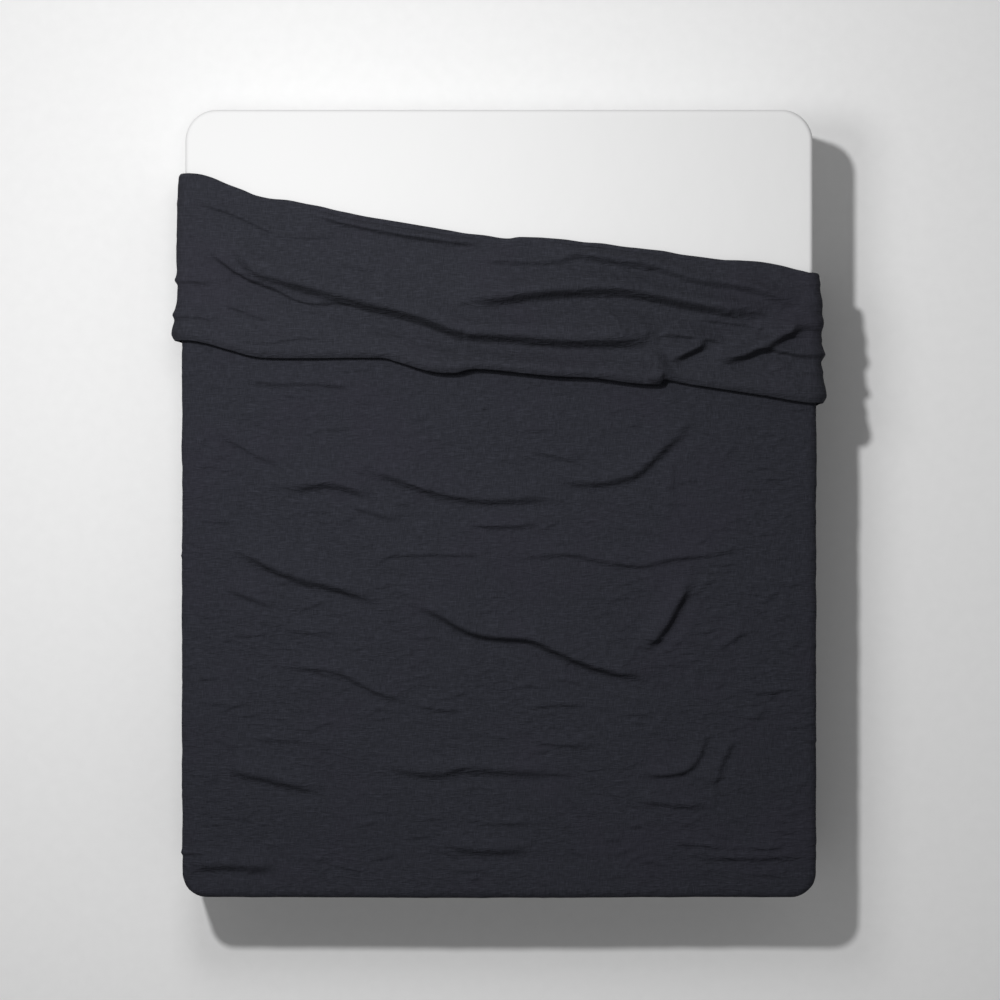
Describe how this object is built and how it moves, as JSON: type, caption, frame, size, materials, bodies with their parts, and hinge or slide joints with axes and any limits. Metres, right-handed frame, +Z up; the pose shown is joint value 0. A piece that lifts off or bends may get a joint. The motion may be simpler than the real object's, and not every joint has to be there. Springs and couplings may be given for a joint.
{
  "type": "duvet",
  "caption": "Thin linen-covered duvet lying over a mattress, its head end turned down over itself and its ends hanging at the sides.",
  "frame": {"origin": "middle of the mattress top, on the duvet's flat underside", "axes": "+X to the right seen from above with the head up, +Y to the head of the bed, +Z up"},
  "size_m": [1.6342, 1.8358, 0.3331],
  "materials": {
    "cover_linen": "matte slub linen, dark blue-grey",
    "cover_inside_linen": "matte slub linen, dark blue-grey, the cover's under side",
    "quilt_cotton": "plain cotton, matte",
    "wadding": "polyester wadding, fibrous",
    "cotton_tape": "cotton cord, matte",
    "clear_resin": "clear resin press stud",
    "label_satin": "blank woven satin label"
  },
  "bodies": {
    "root": {"cover_under_panel": "cover_inside_linen", "under_shell": "quilt_cotton", "batting": "wadding", "top_shell": "quilt_cotton", "cover_top_panel": "cover_linen", "fold_cover_under": "cover_inside_linen", "fold_quilt": "wadding", "fold_cover_top": "cover_linen", "left_drop_bend": "cover_inside_linen", "right_drop_bend": "cover_inside_linen", "mouth_inner_band": "cover_linen", "press_stud_1": "clear_resin", "press_stud_2": "clear_resin", "press_stud_3": "clear_resin", "press_stud_4": "clear_resin", "press_stud_5": "clear_resin", "press_stud_6": "clear_resin", "press_stud_7": "clear_resin", "care_label": "label_satin", "quilt_loop_foot_left": "cotton_tape", "quilt_loop_foot_right": "cotton_tape", "corner_tie_foot_left": "cotton_tape", "corner_tie_foot_right": "cotton_tape"},
    "turn_down": {"turn_down_cover_under": "cover_inside_linen", "turn_down_under_shell": "quilt_cotton", "turn_down_batting": "wadding", "turn_down_top_shell": "quilt_cotton", "turn_down_cover_top": "cover_linen", "left_bend_cover_under": "cover_inside_linen", "left_bend_quilt": "wadding", "left_bend_cover_top": "cover_linen", "right_bend_cover_under": "cover_inside_linen", "right_bend_quilt": "wadding", "right_bend_cover_top": "cover_linen"},
    "left_end": {"left_end_cover_under": "cover_inside_linen", "left_end_under_shell": "quilt_cotton", "left_end_batting": "wadding", "left_end_top_shell": "quilt_cotton", "left_end_cover_top": "cover_linen", "quilt_loop_head_left": "cotton_tape", "corner_tie_head_left": "cotton_tape"},
    "right_end": {"right_end_cover_under": "cover_inside_linen", "right_end_under_shell": "quilt_cotton", "right_end_batting": "wadding", "right_end_top_shell": "quilt_cotton", "right_end_cover_top": "cover_linen", "quilt_loop_head_right": "cotton_tape", "corner_tie_head_right": "cotton_tape"},
    "mouth": {"mouth_strip": "cover_linen", "mouth_outer_band": "cover_linen", "press_socket_1": "clear_resin", "press_socket_2": "clear_resin", "press_socket_3": "clear_resin", "press_socket_4": "clear_resin", "press_socket_5": "clear_resin", "press_socket_6": "clear_resin", "press_socket_7": "clear_resin"}
  },
  "joints": [
    {"name": "turn_down_fold", "type": "hinge", "parent": "root", "child": "turn_down", "pos_m": [0, 0.692, 0.00855], "axis": [-0.9867, 0.1628, 0], "range_deg": [0, 178], "deforming": ["fold_cover_under", "fold_quilt", "fold_cover_top", "left_drop_bend", "right_drop_bend"]},
    {"name": "left_end_fold", "type": "hinge", "parent": "turn_down", "child": "left_end", "pos_m": [-0.8129, 0.6, 0.0129], "axis": [0, 1, 0], "range_deg": [0, 178], "deforming": ["left_bend_cover_under", "left_bend_quilt", "left_bend_cover_top"]},
    {"name": "right_end_fold", "type": "hinge", "parent": "turn_down", "child": "right_end", "pos_m": [0.8129, 0.4, 0.0129], "axis": [0, -1, 0], "range_deg": [0, 178], "deforming": ["right_bend_cover_under", "right_bend_quilt", "right_bend_cover_top"]},
    {"name": "mouth_opening", "type": "hinge", "parent": "root", "child": "mouth", "pos_m": [0, -1.0079, -0.161], "axis": [-1, 0, 0], "range_deg": [0, 70]}
  ],
  "couplings": [
    {"joint": "left_end_fold", "follows": "turn_down_fold", "ratio": 1},
    {"joint": "right_end_fold", "follows": "turn_down_fold", "ratio": 1}
  ]
}
